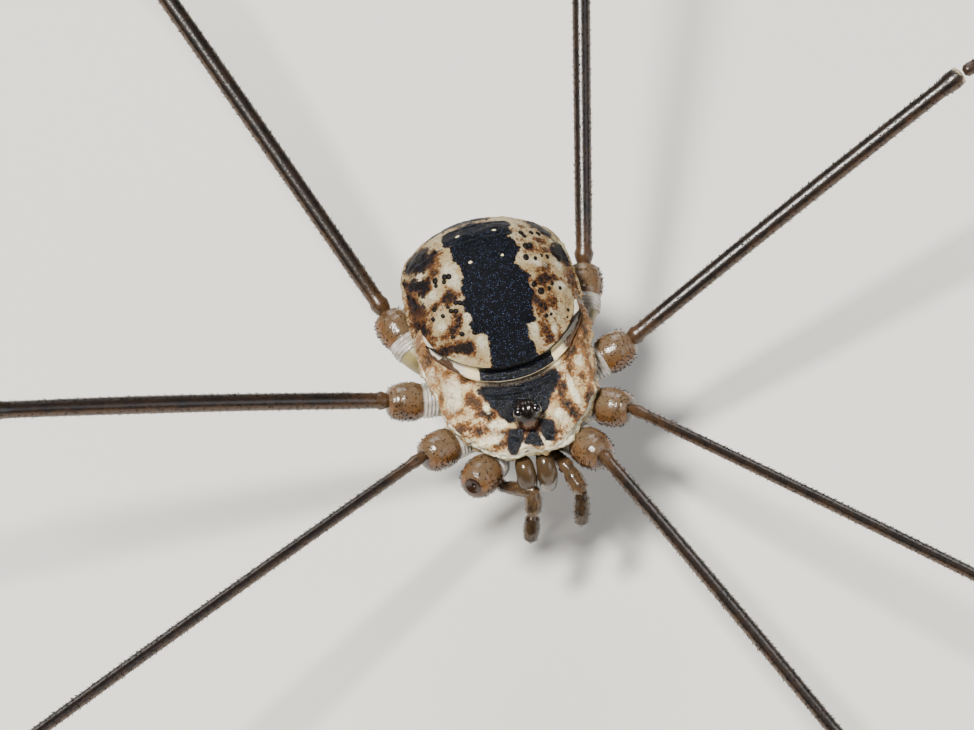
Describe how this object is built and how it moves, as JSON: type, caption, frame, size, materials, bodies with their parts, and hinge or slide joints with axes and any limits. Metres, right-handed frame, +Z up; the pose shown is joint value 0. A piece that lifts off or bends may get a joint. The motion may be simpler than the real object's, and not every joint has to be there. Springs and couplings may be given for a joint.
{
  "type": "harvestman",
  "caption": "Long-legged harvestman with a domed, saddle-marked body, standing low on widely spread thin legs, its right front leg missing beyond the hip.",
  "frame": {"origin": "on the floor under the middle of the body, at the middle of the spread legs", "axes": "+Z up, +Y towards the animal's rear, so the head looks along -Y, +X to the animal's left"},
  "size_m": [0.0946, 0.0905, 0.0114],
  "materials": {
    "mottled_shell": "matt, finely granular cuticle, cream with rust and black markings",
    "mound_shell": "dark brown, satin cuticle",
    "eye_lens": "polished black lens",
    "coxa_shell": "translucent cream cuticle",
    "ring_joint_shell": "translucent amber cuticle",
    "leg_shell": "dark brown satin cuticle",
    "mouth_shell": "translucent grey-brown cuticle"
  },
  "bodies": {
    "root": {"abdomen": "mottled_shell", "cephalothorax": "mottled_shell", "chelicera_left": "mouth_shell", "chelicera_right": "mouth_shell", "coxa_left_1": "coxa_shell", "coxa_left_2": "coxa_shell", "coxa_left_3": "coxa_shell", "coxa_left_4": "coxa_shell", "coxa_right_1": "coxa_shell", "coxa_right_2": "coxa_shell", "coxa_right_3": "coxa_shell", "coxa_right_4": "coxa_shell", "eye_left": "eye_lens", "eye_right": "eye_lens", "femur_left_1": "leg_shell", "femur_left_2": "leg_shell", "femur_left_3": "leg_shell", "femur_left_4": "leg_shell", "femur_right_2": "leg_shell", "femur_right_3": "leg_shell", "femur_right_4": "leg_shell", "metatarsus_left_1": "leg_shell", "metatarsus_left_2": "leg_shell", "metatarsus_left_3": "leg_shell", "metatarsus_left_4": "leg_shell", "metatarsus_right_2": "leg_shell", "metatarsus_right_3": "leg_shell", "metatarsus_right_4": "leg_shell", "ocularium": "mound_shell", "patella_left_1": "leg_shell", "patella_left_2": "leg_shell", "patella_left_3": "leg_shell", "patella_left_4": "leg_shell", "patella_right_2": "leg_shell", "patella_right_3": "leg_shell", "patella_right_4": "leg_shell", "pedipalp_left": "mouth_shell", "pedipalp_right": "mouth_shell", "tarsus_left_1": "leg_shell", "tarsus_left_2": "leg_shell", "tarsus_left_3": "leg_shell", "tarsus_left_4": "leg_shell", "tarsus_right_2": "leg_shell", "tarsus_right_3": "leg_shell", "tarsus_right_4": "leg_shell", "tibia_left_1": "leg_shell", "tibia_left_2": "leg_shell", "tibia_left_3": "leg_shell", "tibia_left_4": "leg_shell", "tibia_right_2": "leg_shell", "tibia_right_3": "leg_shell", "tibia_right_4": "leg_shell", "trochanter_left_1": "ring_joint_shell", "trochanter_left_2": "ring_joint_shell", "trochanter_left_3": "ring_joint_shell", "trochanter_left_4": "ring_joint_shell", "trochanter_right_1": "ring_joint_shell", "trochanter_right_2": "ring_joint_shell", "trochanter_right_3": "ring_joint_shell", "trochanter_right_4": "ring_joint_shell"}
  },
  "joints": []
}
